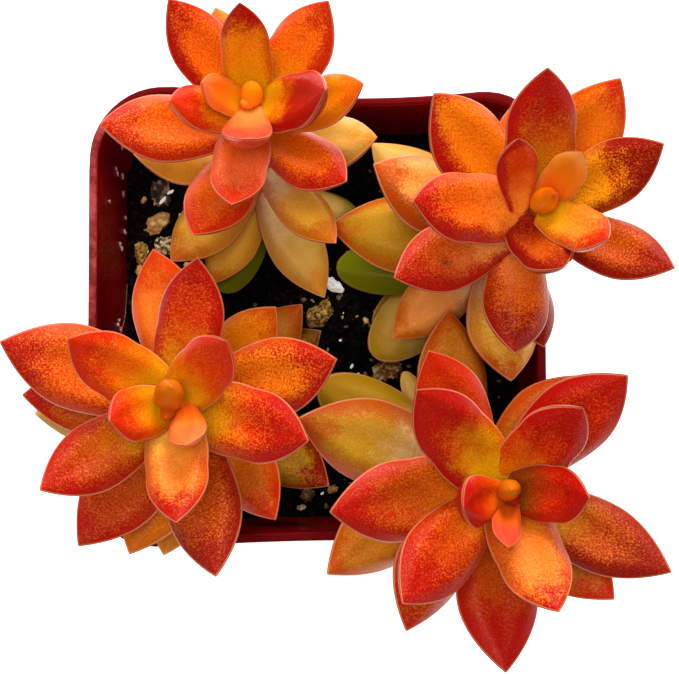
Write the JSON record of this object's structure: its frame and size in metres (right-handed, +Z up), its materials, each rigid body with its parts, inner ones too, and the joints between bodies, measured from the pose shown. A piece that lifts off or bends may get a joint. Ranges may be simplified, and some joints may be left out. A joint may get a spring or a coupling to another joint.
{
  "type": "potted sedum",
  "caption": "Fleshy-leaved sedum in a square nursery pot: leggy shoots that end in rosettes of orange leaves with red tips, over dark gritty soil.",
  "frame": {"origin": "middle of the flat underside of the pot, where it stands", "axes": "+Z up out of the pot; +X and +Y along the pot's sides, with +Y towards the shoots that stand at the back"},
  "size_m": [0.077, 0.0769, 0.0875],
  "materials": {
    "pot": "satin, moulded",
    "soil": "matt, damp and gritty",
    "bark": "matt, ribbed",
    "pumice": "matt, crumbly",
    "perlite": "matt, crumbly",
    "young_leaf": "satin, waxy and finely speckled",
    "old_leaf": "satin, waxy"
  },
  "bodies": {
    "root": {"pot": "pot", "soil": "soil", "bark_chip": "bark", "pumice_back_left_long": "pumice", "pumice_back_left_round": "pumice", "pumice_left_edge": "pumice", "pumice_middle": "pumice", "perlite_flake": "perlite", "pumice_middle_right": "pumice", "pumice_front_large": "pumice", "pumice_front_small": "pumice", "shoot_back_left_stem": "old_leaf", "shoot_back_left_rosette": "young_leaf", "shoot_back_right_stem": "old_leaf", "shoot_back_right_rosette": "young_leaf", "shoot_front_left_stem": "old_leaf", "shoot_front_left_rosette": "young_leaf", "shoot_front_right_stem": "old_leaf", "shoot_front_right_rosette": "young_leaf"}
  },
  "joints": []
}
